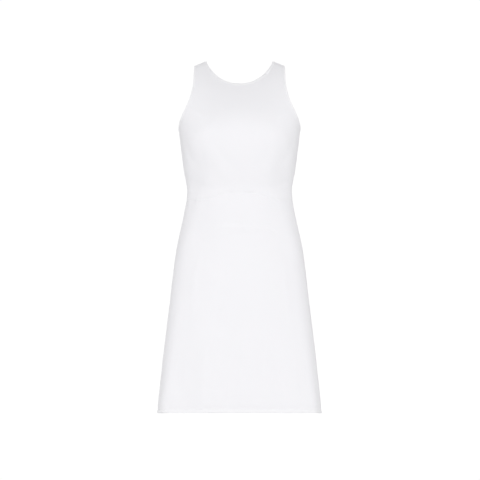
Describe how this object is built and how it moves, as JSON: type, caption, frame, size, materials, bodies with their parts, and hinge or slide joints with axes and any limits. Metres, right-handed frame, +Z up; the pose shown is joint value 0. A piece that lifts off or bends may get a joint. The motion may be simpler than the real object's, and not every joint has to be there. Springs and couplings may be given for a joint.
{
  "type": "tennis dress",
  "caption": "White sleeveless tennis dress, filled out as worn: scooped neck, racer back, waist seam and a softly flared skirt.",
  "frame": {"origin": "midway between the two shoulder straps, at the height of the shoulder tops, where the wearer holds the dress up", "axes": "+Z up along the dress, -Y towards its front, +X towards the wearer's left"},
  "size_m": [0.4042, 0.2519, 0.8621],
  "materials": {
    "panel_knit": "smooth white performance knit with a soft satin face",
    "band_knit": "the same knit, folded double, a shade lighter"
  },
  "bodies": {
    "root": {"front_bodice": "panel_knit", "back_bodice": "panel_knit", "front_skirt": "panel_knit", "back_skirt": "panel_knit", "neck_band": "band_knit", "armhole_band_left": "band_knit", "armhole_band_right": "band_knit"}
  },
  "joints": []
}
